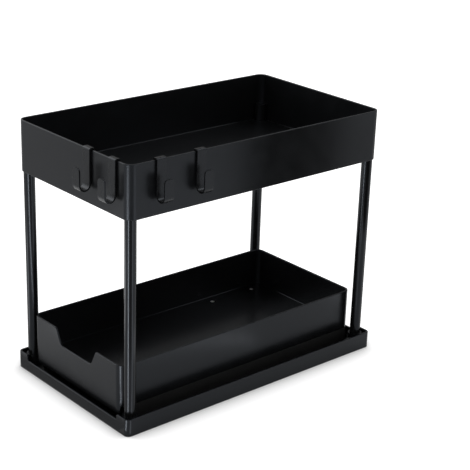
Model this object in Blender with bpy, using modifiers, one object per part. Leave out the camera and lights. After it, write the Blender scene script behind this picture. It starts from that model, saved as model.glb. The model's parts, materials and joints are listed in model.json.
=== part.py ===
"""A two-tier pull-out cabinet organizer, in metres, +Z up.

The origin is the middle of the tray's underside. X is the width, Y is the depth, and the
drawer slides out towards -Y. A low tray carries four posts and a pair of slide rails, the
posts carry a fixed basket, and a drawer runs on the rails between the posts.
"""
import math

import bmesh
import bpy
from mathutils import Matrix, Vector

# Clearances
SEAT_GAP = 0.0003
CUT_OVERRUN = 0.004

# Base tray
TRAY_WIDTH = 0.228
TRAY_LENGTH = 0.392
TRAY_HEIGHT = 0.0215
TRAY_WALL = 0.003
TRAY_RADIUS = 0.0065
LIP_HEIGHT = 0.0145
OPENING_SIDE_GAP = 0.0028
OPENING_FILLET = 0.0025
MOULD_EDGE = 0.0008
SOCKET_WALL = 0.0018
TRAY_SOCKET_DEPTH = 0.0165
SOCKET_WEB = 0.002

# Posts
POST_RADIUS = 0.0068
POST_WALL = 0.0012

# Upper basket
BASKET_TOP = 0.320
BASKET_HEIGHT = 0.063
BASKET_INSET = 0.005
BASKET_RADIUS = 0.011
BASKET_WALL = 0.0025
BASKET_SOCKET_DEPTH = 0.022
BASKET_SOCKET_WALL = 0.001
SOCKET_SKIN = 0.0002

# Slide rails
RAIL_END_GAP = 0.018
RAIL_HEIGHT = 0.0204
RAIL_WIDTH = 0.009
RAIL_WALL = 0.0025
RAIL_SET_IN = 0.0005
STOP_THICKNESS = 0.003
DRAWER_TRAVEL = 0.240

# Drawer
DRAWER_SETBACK = 0.0085
DRAWER_BACK_GAP = 0.016
DRAWER_POST_GAP = 0.0033
DRAWER_TOP = 0.0765
DRAWER_WALL = 0.0025
DRAWER_RADIUS = 0.010
APRON_GAP = 0.0005
CUTOUT_TOP_WIDTH = 0.0815
CUTOUT_BOTTOM_WIDTH = 0.0615
CUTOUT_DEPTH = 0.020
CUTOUT_LOWER_RADIUS = 0.008
CUTOUT_UPPER_RADIUS = 0.003

# Glides under the drawer
GLIDE_PAD_WIDTH = 0.012
GLIDE_FOOT_HEIGHT = 0.0064
GLIDE_EDGE = 0.0005

# Screws
SCREW_RADIUS = 0.0015
SCREW_HEAD_RADIUS = 0.0029
SCREW_HEAD_DEPTH = 0.0016
SCREW_POINT = 0.0012
SCREW_SINK = 0.0003
RECESS_LENGTH = 0.0032
RECESS_WIDTH = 0.0008
RECESS_DEPTH = 0.0009
RAIL_SCREW_LENGTH = 0.0052
RAIL_SCREW_INSET = 0.055
GLIDE_SCREW_LENGTH = 0.0085
GLIDE_SCREW_SPREAD_SHARE = 0.68

# Hooks
HOOK_WIDTH = 0.0125
HOOK_THICKNESS = 0.002
HOOK_SLACK = 0.0005
HOOK_REACH = 0.0165
HOOK_DROP = 0.0465
HOOK_PRONG = 0.0278
HOOK_CLIP = 0.012
HOOK_BEND = 0.0014
HOOK_TIP_RADIUS = 0.0042
HOOK_EDGE = 0.0003
FRONT_HOOK_INSET = 0.02725
FRONT_HOOK_PITCH = 0.047
SIDE_HOOK_INSET = 0.04175
SIDE_HOOK_PITCH = 0.055

# Facets
CORNER_SEGMENTS = 6
ARC_SEGMENTS = 5
BEND_SEGMENTS = 8
EDGE_SEGMENTS = 2
POST_STEPS = 32
SCREW_STEPS = 16
WELD = 0.00001
SHARP_ANGLE = math.radians(35)
FILLET_ANGLE = math.radians(40)
FILLET_CLEAR_SHARE = 0.02

# Places that follow from the sizes
BORE_RADIUS = POST_RADIUS + SEAT_GAP
BORE_COVER = BORE_RADIUS + BASKET_SOCKET_WALL + SOCKET_SKIN
CORNER_INSET = BASKET_RADIUS - (BASKET_RADIUS - BORE_COVER) / math.sqrt(2)
POST_INSET = BASKET_INSET + max(CORNER_INSET, BORE_COVER)
POST_X = TRAY_WIDTH / 2 - POST_INSET
POST_Y = TRAY_LENGTH / 2 - POST_INSET
BASKET_BOTTOM = BASKET_TOP - BASKET_HEIGHT
BASKET_X = TRAY_WIDTH / 2 - BASKET_INSET
BASKET_Y = TRAY_LENGTH / 2 - BASKET_INSET
DRAWER_X = POST_X - POST_RADIUS - DRAWER_POST_GAP
DRAWER_FRONT = -TRAY_LENGTH / 2 + DRAWER_SETBACK
DRAWER_BACK = TRAY_LENGTH / 2 - DRAWER_BACK_GAP
APRON_BOTTOM = LIP_HEIGHT + APRON_GAP
RAIL_X = DRAWER_X - RAIL_SET_IN
RAIL_LENGTH = TRAY_LENGTH - 2 * (TRAY_WALL + RAIL_END_GAP)
RAIL_BOTTOM = TRAY_WALL + SEAT_GAP
RAIL_TOP = RAIL_BOTTOM + RAIL_HEIGHT
DRAWER_BOTTOM = RAIL_TOP + SEAT_GAP
DRAWER_FLOOR_TOP = DRAWER_BOTTOM + DRAWER_WALL
GLIDE_X = RAIL_X - RAIL_WIDTH - SEAT_GAP
GLIDE_BACK = RAIL_LENGTH / 2 - STOP_THICKNESS - SEAT_GAP
GLIDE_LENGTH = 2 * GLIDE_BACK - DRAWER_TRAVEL
GLIDE_SCREW_X = GLIDE_X - GLIDE_PAD_WIDTH / 2
GLIDE_SCREW_PITCH = GLIDE_SCREW_SPREAD_SHARE * GLIDE_LENGTH
RAIL_SCREW_X = RAIL_X - RAIL_WIDTH / 2
RAIL_SCREW_PITCH = RAIL_LENGTH / 2 - RAIL_SCREW_INSET
SIDES = {"left": -1, "right": 1}
ENDS = {"front": -1, "back": 1}


def clear_scene():
    """Start from an empty scene."""
    for old in list(bpy.data.objects):
        bpy.data.objects.remove(old, do_unlink=True)


def make_collection(name):
    """A collection linked to the scene."""
    collection = bpy.data.collections.new(name)
    bpy.context.scene.collection.children.link(collection)
    return collection


def make_material(name, color, roughness, metallic=0.0):
    """A Principled material of one colour."""
    material = bpy.data.materials.new(name)
    material.use_nodes = True
    shader = material.node_tree.nodes["Principled BSDF"]
    shader.inputs["Base Color"].default_value = (*color, 1)
    shader.inputs["Roughness"].default_value = roughness
    shader.inputs["Metallic"].default_value = metallic
    material.diffuse_color = (*color, 1)
    return material


def place(name, mesh, collection, material=None):
    """An object that holds the mesh, in its collection."""
    piece = bpy.data.objects.new(name, mesh)
    collection.objects.link(piece)
    if material:
        mesh.materials.append(material)
        mesh.shade_smooth()
        mesh.set_sharp_from_angle(angle=SHARP_ANGLE)
    return piece


def cutter(name, mesh):
    """A shape that only cuts or joins another, hidden from renders."""
    tool = place(name, mesh, CUTTERS)
    tool.hide_render = True
    tool.display_type = "WIRE"
    return tool


def mesh_of(bm, name, closed=False):
    """A mesh from a bmesh, faces pointing out."""
    bmesh.ops.recalc_face_normals(bm, faces=bm.faces)
    if closed and bm.calc_volume(signed=True) < 0:
        bmesh.ops.reverse_faces(bm, faces=bm.faces)
    mesh = bpy.data.meshes.new(name)
    bm.to_mesh(mesh)
    bm.free()
    return mesh


def add_block(bm, low, high, radius=0.0):
    """Add a box between two corners, its upright edges rounded."""
    low = Vector(low)
    high = Vector(high)
    scaling = Matrix.Diagonal(high - low).to_4x4()
    placing = Matrix.Translation((low + high) / 2) @ scaling
    made = bmesh.ops.create_cube(bm, size=1, matrix=placing)["verts"]
    if radius:
        edges = {edge for vert in made for edge in vert.link_edges}
        upright = [edge for edge in edges if abs((edge.verts[0].co - edge.verts[1].co).z) > WELD]
        bmesh.ops.bevel(
            bm, geom=upright, offset=radius, offset_type="OFFSET",
            segments=CORNER_SEGMENTS, profile=0.5, affect="EDGES",
        )


def block_mesh(name, low, high, radius=0.0):
    """The mesh of one box, as add_block makes it."""
    bm = bmesh.new()
    add_block(bm, low, high, radius)
    return mesh_of(bm, name)


def rods_mesh(name, spots, radius, low, high, steps=POST_STEPS):
    """Upright rods of one radius at several places, as one mesh."""
    bm = bmesh.new()
    for x, y in spots:
        centre = Matrix.Translation((x, y, (low + high) / 2))
        bmesh.ops.create_cone(
            bm, cap_ends=True, segments=steps, radius1=radius, radius2=radius,
            depth=high - low, matrix=centre,
        )
    return mesh_of(bm, name)


def rounded_path(corners, segments=ARC_SEGMENTS, closed=True):
    """Points through the corners (across, up, radius), each corner rounded to its radius."""
    points = []
    last = len(corners) - 1
    for index, (across, up, radius) in enumerate(corners):
        corner = Vector((across, up))
        loose_end = not closed and index in (0, last)
        if loose_end or not radius:
            points.append(corner)
            continue
        before = (Vector(corners[index - 1][:2]) - corner).normalized()
        after = (Vector(corners[(index + 1) % len(corners)][:2]) - corner).normalized()
        half_angle = before.angle(after) / 2
        centre = corner + (before + after).normalized() * radius / math.sin(half_angle)
        reach = radius / math.tan(half_angle)
        start = (corner + before * reach - centre).normalized()
        end = (corner + after * reach - centre).normalized()
        for step in range(segments + 1):
            points.append(centre + start.slerp(end, step / segments) * radius)
    return points


def outline_mesh(name, points, depth, placing):
    """A flat outline extruded to half its depth on both sides of its plane, as a closed mesh."""
    curve = bpy.data.curves.new(name, "CURVE")
    curve.dimensions = "2D"
    curve.fill_mode = "BOTH"
    curve.extrude = depth / 2
    points = [spot for last, spot in zip(points[-1:] + points, points) if (spot - last).length > WELD]
    spline = curve.splines.new("POLY")
    spline.points.add(len(points) - 1)
    for spot, point in zip(spline.points, points):
        spot.co = (point.x, point.y, 0, 1)
    spline.use_cyclic_u = True
    guide = bpy.data.objects.new(name, curve)
    CUTTERS.objects.link(guide)
    bpy.context.view_layer.update()
    graph = bpy.context.evaluated_depsgraph_get()
    flat = bpy.data.meshes.new_from_object(guide.evaluated_get(graph))
    bpy.data.objects.remove(guide, do_unlink=True)
    bm = bmesh.new()
    bm.from_mesh(flat)
    bpy.data.meshes.remove(flat)
    bmesh.ops.remove_doubles(bm, verts=bm.verts, dist=WELD)
    bmesh.ops.transform(bm, matrix=placing, verts=bm.verts)
    return mesh_of(bm, name, closed=True)


def notch_mesh(name, bottom, top, lower_radius, upper_radius, depth, middle_y):
    """A notch in a wall's upper edge, its foot and top given as (half width, height)."""
    above = top[1] + CUT_OVERRUN
    lean = math.atan2(top[0] - bottom[0], top[1] - bottom[1])
    flare = top[0] + upper_radius / math.tan((math.pi / 2 + lean) / 2)
    clear_top = top[1] + upper_radius * FILLET_CLEAR_SHARE
    corners = [
        (-bottom[0], bottom[1], lower_radius),
        (bottom[0], bottom[1], lower_radius),
        (top[0], clear_top, upper_radius),
        (flare, clear_top, 0),
        (flare, above, 0),
        (-flare, above, 0),
        (-flare, clear_top, 0),
        (-top[0], clear_top, upper_radius),
    ]
    return outline_mesh(name, rounded_path(corners), depth, upright_plane(middle_y))


def upright_plane(middle_y):
    """Turns an outline's (across, up) to X and Z, and its depth to Y."""
    return Matrix.Translation((0, middle_y, 0)) @ Matrix.Rotation(math.pi / 2, 4, "X")


def join(piece, tool):
    """Boolean union with a tool shape."""
    union = piece.modifiers.new("join_" + tool.name, "BOOLEAN")
    union.operation = "UNION"
    union.solver = "EXACT"
    union.object = tool


def cut(piece, tool):
    """Boolean cut by a tool shape."""
    taken = piece.modifiers.new("cut_" + tool.name, "BOOLEAN")
    taken.operation = "DIFFERENCE"
    taken.solver = "EXACT"
    taken.object = tool


def soften(piece, width, segments=EDGE_SEGMENTS):
    """Round the sharp edges a little, as a mould does."""
    bevel = piece.modifiers.new("edges", "BEVEL")
    bevel.width = width
    bevel.segments = segments
    bevel.limit_method = "ANGLE"
    bevel.angle_limit = FILLET_ANGLE


def open_box(name, low, high, radius, wall, floor_top):
    """A box open at the top, with even walls and rounded upright edges."""
    box = place(name, block_mesh(name, low, high, radius), PARTS, SATIN_BLACK)
    inside_low = (low[0] + wall, low[1] + wall, floor_top)
    inside_high = (high[0] - wall, high[1] - wall, high[2] + CUT_OVERRUN)
    hollow = block_mesh(name + "_hollow", inside_low, inside_high, radius - wall)
    cut(box, cutter(name + "_hollow", hollow))
    return box


def post_spots():
    """The four post axes as (name, x, y)."""
    for end, toward in ENDS.items():
        for side, across in SIDES.items():
            yield end + "_" + side, across * POST_X, toward * POST_Y


def make_tray():
    """The moulded base: a low open box, lowered in front and behind for the drawer."""
    low = (-TRAY_WIDTH / 2, -TRAY_LENGTH / 2, 0)
    high = (TRAY_WIDTH / 2, TRAY_LENGTH / 2, TRAY_HEIGHT)
    tray = open_box("base_tray", low, high, TRAY_RADIUS, TRAY_WALL, TRAY_WALL)
    opening_half = DRAWER_X + OPENING_SIDE_GAP
    opening = notch_mesh(
        "drawer_opening", (opening_half, LIP_HEIGHT), (opening_half, TRAY_HEIGHT),
        OPENING_FILLET, OPENING_FILLET, TRAY_LENGTH + CUT_OVERRUN, 0,
    )
    cut(tray, cutter("drawer_opening", opening))
    soften(tray, MOULD_EDGE)

    spots = [(x, y) for _, x, y in post_spots()]
    socket_top = TRAY_WALL + TRAY_SOCKET_DEPTH
    socket_radius = BORE_RADIUS + SOCKET_WALL
    sockets = rods_mesh("tray_sockets", spots, socket_radius, TRAY_WALL / 2, socket_top)
    join(tray, cutter("tray_sockets", sockets))
    webs = bmesh.new()
    for x, y in spots:
        out_x = math.copysign(TRAY_WIDTH / 2 - TRAY_WALL / 2, x)
        out_y = math.copysign(TRAY_LENGTH / 2 - TRAY_WALL / 2, y)
        start_x = math.copysign(POST_X + BORE_RADIUS + SOCKET_WALL / 2, x)
        start_y = math.copysign(POST_Y + BORE_RADIUS + SOCKET_WALL / 2, y)
        half_web = SOCKET_WEB / 2
        web_top = socket_top - SOCKET_WEB
        floor_in = TRAY_WALL / 2
        add_block(
            webs, (min(start_x, out_x), y - half_web, floor_in),
            (max(start_x, out_x), y + half_web, web_top),
        )
        add_block(
            webs, (x - half_web, min(start_y, out_y), floor_in),
            (x + half_web, max(start_y, out_y), web_top),
        )
    join(tray, cutter("socket_webs", mesh_of(webs, "socket_webs")))
    bores = rods_mesh("tray_bores", spots, BORE_RADIUS, TRAY_WALL, socket_top + CUT_OVERRUN)
    cut(tray, cutter("tray_bores", bores))
    for name, x, y in rail_screw_spots():
        cut(tray, screw_hole("tray_hole_" + name, (x, y, SCREW_SINK), RAIL_SCREW_LENGTH, True))
    return tray


def make_posts():
    """Four round tubes that stand in the tray's sockets and hold up the basket."""
    bottom = TRAY_WALL + SEAT_GAP
    top = BASKET_BOTTOM + BASKET_SOCKET_DEPTH - SEAT_GAP
    inner = POST_RADIUS - POST_WALL
    profile = [(POST_RADIUS, top), (POST_RADIUS, bottom), (inner, bottom), (inner, top)]
    mesh = profile_mesh("post", profile, closed=True)
    for name, x, y in post_spots():
        post = place("post_" + name, mesh.copy(), PARTS, COATED_STEEL)
        post.location = (x, y, 0)
        turn(post, POST_STEPS)


def profile_mesh(name, profile, closed):
    """A line of (radius, height) points in the XZ plane, ready to be turned round Z."""
    bm = bmesh.new()
    spots = [bm.verts.new((radius, 0, height)) for radius, height in profile]
    for first, second in zip(spots, spots[1:]):
        bm.edges.new((first, second))
    if closed:
        bm.edges.new((spots[-1], spots[0]))
    mesh = bpy.data.meshes.new(name)
    bm.to_mesh(mesh)
    bm.free()
    return mesh


def turn(piece, steps):
    """Turn a profile round the object's Z axis."""
    spin = piece.modifiers.new("turn", "SCREW")
    spin.steps = steps
    spin.render_steps = steps
    spin.use_merge_vertices = True
    spin.merge_threshold = WELD


def make_basket():
    """The fixed upper basket: a straight-walled open box with a socket in each corner."""
    low = (-BASKET_X, -BASKET_Y, BASKET_BOTTOM)
    high = (BASKET_X, BASKET_Y, BASKET_TOP)
    floor_top = BASKET_BOTTOM + BASKET_WALL
    basket = open_box("upper_basket", low, high, BASKET_RADIUS, BASKET_WALL, floor_top)
    soften(basket, MOULD_EDGE)
    spots = [(x, y) for _, x, y in post_spots()]
    bore_top = BASKET_BOTTOM + BASKET_SOCKET_DEPTH
    boss_radius = BORE_RADIUS + BASKET_SOCKET_WALL
    floor_in = BASKET_BOTTOM + BASKET_WALL / 2
    bosses = rods_mesh("basket_bosses", spots, boss_radius, floor_in, bore_top + BASKET_WALL)
    join(basket, cutter("basket_bosses", bosses))
    bores = rods_mesh("basket_bores", spots, BORE_RADIUS, BASKET_BOTTOM - CUT_OVERRUN, bore_top)
    cut(basket, cutter("basket_bores", bores))
    return basket


def make_rails():
    """A pair of C-shaped rails on the tray floor, closed at both ends by stops."""
    for side, across in SIDES.items():
        outer = across * RAIL_X
        inner = across * (RAIL_X - RAIL_WIDTH)
        web = across * (RAIL_X - RAIL_WALL)
        section = [
            (outer, RAIL_BOTTOM, 0),
            (outer, RAIL_TOP, 0),
            (inner, RAIL_TOP, 0),
            (inner, RAIL_TOP - RAIL_WALL, 0),
            (web, RAIL_TOP - RAIL_WALL, 0),
            (web, RAIL_BOTTOM + RAIL_WALL, 0),
            (inner, RAIL_BOTTOM + RAIL_WALL, 0),
            (inner, RAIL_BOTTOM, 0),
        ]
        name = "slide_rail_" + side
        mesh = outline_mesh(name, rounded_path(section), RAIL_LENGTH, upright_plane(0))
        rail = place(name, mesh, PARTS, RAIL_BLACK)
        stops = bmesh.new()
        for toward in ENDS.values():
            far = toward * RAIL_LENGTH / 2
            near = toward * (RAIL_LENGTH / 2 - STOP_THICKNESS)
            middle = across * (RAIL_X - RAIL_WALL / 2)
            add_block(
                stops,
                (min(inner, middle), min(near, far), RAIL_BOTTOM + RAIL_WALL / 2),
                (max(inner, middle), max(near, far), RAIL_TOP - RAIL_WALL / 2),
            )
        join(rail, cutter("stops_" + side, mesh_of(stops, "stops")))
        spots = [(x, y) for label, x, y in rail_screw_spots() if label.startswith(side)]
        hole = SCREW_RADIUS + SEAT_GAP
        top = RAIL_BOTTOM + RAIL_WALL + CUT_OVERRUN
        holes = rods_mesh("rail_holes", spots, hole, RAIL_BOTTOM - CUT_OVERRUN, top, SCREW_STEPS)
        cut(rail, cutter("rail_holes_" + side, holes))


def rail_screw_spots():
    """The screws that hold the rails down, as (name, x, y)."""
    for side, across in SIDES.items():
        for number, along in enumerate((-1, 0, 1), 1):
            yield side + "_" + str(number), across * RAIL_SCREW_X, along * RAIL_SCREW_PITCH


def glide_screw_spots(side):
    """The screws of one glide, as (name, x, y)."""
    middle = GLIDE_BACK - GLIDE_LENGTH / 2
    for number, along in enumerate((-1, 1), 1):
        yield side + "_" + str(number), SIDES[side] * GLIDE_SCREW_X, middle + along * GLIDE_SCREW_PITCH / 2


def screw_profile(length, extra=0.0, rise=0.0):
    """Half the section of a countersunk screw, head up, its head face at zero height."""
    head = SCREW_HEAD_RADIUS + extra
    shank = SCREW_RADIUS + extra
    profile = [(0, rise), (head, rise)]
    if rise:
        profile.append((head, 0))
    profile.append((shank, -SCREW_HEAD_DEPTH))
    profile.append((shank, SCREW_POINT - length))
    profile.append((0, -length))
    return profile


def screw_hole(name, spot, length, head_down):
    """A hole for a countersunk screw, with clearance all round it."""
    profile = screw_profile(length + SEAT_GAP, SEAT_GAP, CUT_OVERRUN)
    hole = cutter(name, profile_mesh(name, profile, closed=False))
    hole.location = spot
    if head_down:
        hole.rotation_euler = (math.pi, 0, 0)
    turn(hole, SCREW_STEPS)
    return hole


def make_screw(name, spot, length, head_down, parent=None):
    """One countersunk screw with a cross recess."""
    mesh = profile_mesh(name, screw_profile(length), closed=False)
    screw = place(name, mesh, PARTS, ZINC)
    screw.location = spot
    if head_down:
        screw.rotation_euler = (math.pi, 0, 0)
    turn(screw, SCREW_STEPS)
    arm = RECESS_LENGTH / 2
    half = RECESS_WIDTH / 2
    cross = [
        (half, half), (arm, half), (arm, -half), (half, -half), (half, -arm), (-half, -arm),
        (-half, -half), (-arm, -half), (-arm, half), (-half, half), (-half, arm), (half, arm),
    ]
    points = [Vector(point) for point in cross]
    recess = cutter("recess_" + name, outline_mesh("recess", points, 2 * RECESS_DEPTH, Matrix()))
    recess.location = screw.location
    recess.rotation_euler = (0, 0, math.pi / SCREW_STEPS)
    cut(screw, recess)
    if parent:
        hang(screw, parent)
    return screw


def hang(piece, parent):
    """Parent a piece without moving it."""
    piece.parent = parent
    piece.matrix_parent_inverse = Matrix.Translation(parent.location).inverted()


def make_drawer(parent):
    """The sliding drawer, with a finger cut-out and an apron in front of the rails."""
    low = (-DRAWER_X, DRAWER_FRONT, APRON_BOTTOM)
    high = (DRAWER_X, DRAWER_BACK, DRAWER_TOP)
    drawer = open_box("sliding_drawer", low, high, DRAWER_RADIUS, DRAWER_WALL, DRAWER_FLOOR_TOP)
    clear_x = DRAWER_X + CUT_OVERRUN
    under = block_mesh(
        "rail_space", (-clear_x, DRAWER_FRONT + DRAWER_WALL, APRON_BOTTOM - CUT_OVERRUN),
        (clear_x, DRAWER_BACK + CUT_OVERRUN, DRAWER_BOTTOM),
    )
    cut(drawer, cutter("rail_space", under))

    notch = notch_mesh(
        "finger_cutout", (CUTOUT_BOTTOM_WIDTH / 2, DRAWER_TOP - CUTOUT_DEPTH),
        (CUTOUT_TOP_WIDTH / 2, DRAWER_TOP), CUTOUT_LOWER_RADIUS, CUTOUT_UPPER_RADIUS,
        2 * CUT_OVERRUN, DRAWER_FRONT,
    )
    cut(drawer, cutter("finger_cutout", notch))
    soften(drawer, MOULD_EDGE)
    for side in SIDES:
        for name, x, y in glide_screw_spots(side):
            spot = (x, y, DRAWER_FLOOR_TOP - SCREW_SINK)
            cut(drawer, screw_hole("drawer_hole_" + name, spot, GLIDE_SCREW_LENGTH, False))
    hang(drawer, parent)
    return drawer


def make_glides(parent):
    """L-shaped glides whose feet run inside the rails and hold the drawer down."""
    for side, across in SIDES.items():
        pad_in = across * (GLIDE_X - GLIDE_PAD_WIDTH)
        pad_out = across * GLIDE_X
        foot_out = across * (RAIL_X - RAIL_WALL - SEAT_GAP)
        foot_top = RAIL_TOP - RAIL_WALL - SEAT_GAP
        foot_bottom = foot_top - GLIDE_FOOT_HEIGHT
        pad_top = DRAWER_BOTTOM - SEAT_GAP
        section = [
            (pad_in, pad_top, 0),
            (pad_out, pad_top, 0),
            (pad_out, foot_top, 0),
            (foot_out, foot_top, GLIDE_EDGE),
            (foot_out, foot_bottom, GLIDE_EDGE),
            (pad_in, foot_bottom, GLIDE_EDGE),
        ]
        name = "rear_glide_" + side
        middle = GLIDE_BACK - GLIDE_LENGTH / 2
        mesh = outline_mesh(name, rounded_path(section), GLIDE_LENGTH, upright_plane(middle))
        glide = place(name, mesh, PARTS, ACETAL)
        for label, x, y in glide_screw_spots(side):
            spot = (x, y, DRAWER_FLOOR_TOP - SCREW_SINK)
            cut(glide, screw_hole("glide_hole_" + label, spot, GLIDE_SCREW_LENGTH, False))
            make_screw("glide_screw_" + label, spot, GLIDE_SCREW_LENGTH, False, parent)
        hang(glide, parent)


def make_hook(name, spot, turned):
    """A J-shaped strip that clips over the basket's rim."""
    middle = HOOK_THICKNESS / 2
    bridge = SEAT_GAP + middle
    inside = -BASKET_WALL - bridge
    strap = bridge + HOOK_SLACK
    prong = HOOK_REACH - middle
    bottom = middle - HOOK_DROP
    loop = (prong - strap) / 2
    corners = [
        (inside, -HOOK_CLIP, 0),
        (inside, bridge, HOOK_BEND),
        (strap, bridge, HOOK_BEND),
        (strap, bottom, loop),
        (prong, bottom, loop),
        (prong, HOOK_PRONG - HOOK_DROP, 0),
    ]
    path = rounded_path(corners, BEND_SEGMENTS, closed=False)
    bm = bmesh.new()
    half = HOOK_WIDTH / 2
    ends = [bm.verts.new((across, -path[0].x, path[0].y)) for across in (-half, half)]
    edge = bm.edges.new(ends)
    for before, after in zip(path, path[1:]):
        step = after - before
        if step.length < WELD:
            continue
        grown = bmesh.ops.extrude_edge_only(bm, edges=[edge])["geom"]
        ends = [item for item in grown if isinstance(item, bmesh.types.BMVert)]
        edge = next(item for item in grown if isinstance(item, bmesh.types.BMEdge))
        bmesh.ops.translate(bm, verts=ends, vec=(0, -step.x, step.y))
    bmesh.ops.bevel(
        bm, geom=ends, offset=HOOK_TIP_RADIUS, offset_type="OFFSET", segments=ARC_SEGMENTS,
        profile=0.5, affect="VERTICES",
    )
    hook = place(name, mesh_of(bm, name), PARTS, HOOK_BLACK)
    hook.location = spot
    hook.rotation_euler = (0, 0, turned)
    wall = hook.modifiers.new("thickness", "SOLIDIFY")
    wall.thickness = HOOK_THICKNESS
    wall.offset = 0
    wall.use_even_offset = True
    soften(hook, HOOK_EDGE, 1)
    return hook


def make_hooks():
    """Two hooks on the front wall and two on the right wall, near the front corner."""
    for number in range(2):
        x = BASKET_X - FRONT_HOOK_INSET - number * FRONT_HOOK_PITCH
        make_hook("front_hook_" + str(number + 1), (x, -BASKET_Y, BASKET_TOP), 0)
        y = -BASKET_Y + SIDE_HOOK_INSET + number * SIDE_HOOK_PITCH
        make_hook("side_hook_" + str(number + 1), (BASKET_X, y, BASKET_TOP), math.pi / 2)


clear_scene()
PARTS = make_collection("pull_out_organizer")
CUTTERS = make_collection("cutters")
SATIN_BLACK = make_material("satin_black_plastic", (0.014, 0.014, 0.015), 0.38)
COATED_STEEL = make_material("black_coated_steel", (0.012, 0.012, 0.012), 0.3, 0.0)
HOOK_BLACK = make_material("black_hook_plastic", (0.014, 0.014, 0.015), 0.35)
RAIL_BLACK = make_material("rail_plastic", (0.02, 0.02, 0.021), 0.5)
ACETAL = make_material("white_acetal", (0.75, 0.75, 0.72), 0.35)
ZINC = make_material("zinc_plated_steel", (0.6, 0.6, 0.58), 0.35, 1.0)

make_tray()
make_rails()
for screw_name, screw_x, screw_y in rail_screw_spots():
    make_screw("rail_screw_" + screw_name, (screw_x, screw_y, SCREW_SINK), RAIL_SCREW_LENGTH, True)
make_posts()
make_basket()
DRAWER_CARRIER = bpy.data.objects.new("drawer_slide", None)
DRAWER_CARRIER.location = (0, DRAWER_FRONT, DRAWER_BOTTOM)
PARTS.objects.link(DRAWER_CARRIER)
make_drawer(DRAWER_CARRIER)
make_glides(DRAWER_CARRIER)
make_hooks()
print("tray", TRAY_WIDTH, TRAY_LENGTH, "top", BASKET_TOP, "drawer travel", DRAWER_TRAVEL)
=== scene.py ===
# %% [markdown]
# # A pull-out cabinet organizer
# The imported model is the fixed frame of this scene: a low tray, a drawer that slides out of
# it on rails, four posts, a basket on top, and loose hooks on the basket's rim. Each piece is
# modelled again here in finer facets, in the place that the frame gives it, and gets a finish
# with the grain and gloss of the real one. The frame's box is measured first, so that the
# dressed model can be compared with it at the end.

# %% Load the frame
import json
import math

import bmesh
import bpy
from mathutils import Matrix, Vector

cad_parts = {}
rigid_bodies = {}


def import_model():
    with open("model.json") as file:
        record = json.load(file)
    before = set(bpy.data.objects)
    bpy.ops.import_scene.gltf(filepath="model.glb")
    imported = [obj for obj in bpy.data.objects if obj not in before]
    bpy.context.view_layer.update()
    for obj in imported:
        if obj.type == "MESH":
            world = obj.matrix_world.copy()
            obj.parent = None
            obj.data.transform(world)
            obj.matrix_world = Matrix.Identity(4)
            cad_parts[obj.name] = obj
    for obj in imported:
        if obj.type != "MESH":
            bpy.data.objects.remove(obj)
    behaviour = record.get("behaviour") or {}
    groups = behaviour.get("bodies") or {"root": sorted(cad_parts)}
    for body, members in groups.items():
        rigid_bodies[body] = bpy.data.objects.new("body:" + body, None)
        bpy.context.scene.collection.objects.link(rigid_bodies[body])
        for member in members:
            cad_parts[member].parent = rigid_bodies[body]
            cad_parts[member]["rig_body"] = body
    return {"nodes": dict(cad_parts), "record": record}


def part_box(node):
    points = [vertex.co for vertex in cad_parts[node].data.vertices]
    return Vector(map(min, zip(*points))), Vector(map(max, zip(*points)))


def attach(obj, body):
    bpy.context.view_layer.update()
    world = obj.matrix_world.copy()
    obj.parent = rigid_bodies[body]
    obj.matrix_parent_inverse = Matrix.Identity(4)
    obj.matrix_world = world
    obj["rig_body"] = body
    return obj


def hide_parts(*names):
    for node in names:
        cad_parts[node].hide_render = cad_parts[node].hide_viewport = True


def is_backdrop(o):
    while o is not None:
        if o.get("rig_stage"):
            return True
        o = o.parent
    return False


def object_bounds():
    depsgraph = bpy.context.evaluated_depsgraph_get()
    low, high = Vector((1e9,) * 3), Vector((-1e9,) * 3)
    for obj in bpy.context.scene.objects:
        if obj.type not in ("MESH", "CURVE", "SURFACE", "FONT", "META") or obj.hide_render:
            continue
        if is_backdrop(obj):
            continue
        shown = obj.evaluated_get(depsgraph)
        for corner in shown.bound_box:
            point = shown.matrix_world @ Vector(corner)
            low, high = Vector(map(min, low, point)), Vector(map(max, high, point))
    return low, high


MM = 1000
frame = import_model()
cad_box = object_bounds()
scene = bpy.context.scene
print("frame box:", [[round(value, 4) for value in corner] for corner in cad_box])

# %% [markdown]
# ## Nodes
# Every finish here is procedural: a small tree of nodes that feeds one shader. It could also
# be painted on an image, but nodes stay sharp at any distance and need no unwrapping. The
# helper below adds a node and wires it in one line, which keeps each finish short enough to
# read. The light of the world is a tree of nodes too and uses the same helper.

# %% Node helper
NOISE_LOW, NOISE_HIGH = 0.3, 0.7


class Nodes:
    """A node tree whose nodes are added one call at a time."""

    def __init__(self, tree):
        self.tree = tree

    def node(self, kind, **settings):
        """Add a node. Each setting is one of its properties or else one of its inputs."""
        made = self.tree.nodes.new(kind)
        for key, value in settings.items():
            if hasattr(made, key):
                setattr(made, key, value)
            else:
                self.feed(made.inputs[key.replace("_", " ")], value)
        return made

    def feed(self, socket, value):
        """Give a socket a plain value, or wire another node's output to it."""
        if isinstance(value, bpy.types.NodeSocket):
            self.tree.links.new(value, socket)
        else:
            socket.default_value = value

    def work(self, operation, first, second):
        """One number worked out from two."""
        made = self.node("ShaderNodeMath", operation=operation)
        self.feed(made.inputs[0], first)
        self.feed(made.inputs[1], second)
        return made.outputs[0]

    def spread(self, source, start, end, low=NOISE_LOW, high=NOISE_HIGH):
        """Turn the range from low to high, where most of a noise lies, into another."""
        made = self.node(
            "ShaderNodeMapRange", Value=source,
            From_Min=low, From_Max=high, To_Min=start, To_Max=end,
        )
        return made.outputs["Result"]


print("a noise is read from", NOISE_LOW, "to", NOISE_HIGH)

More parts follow.
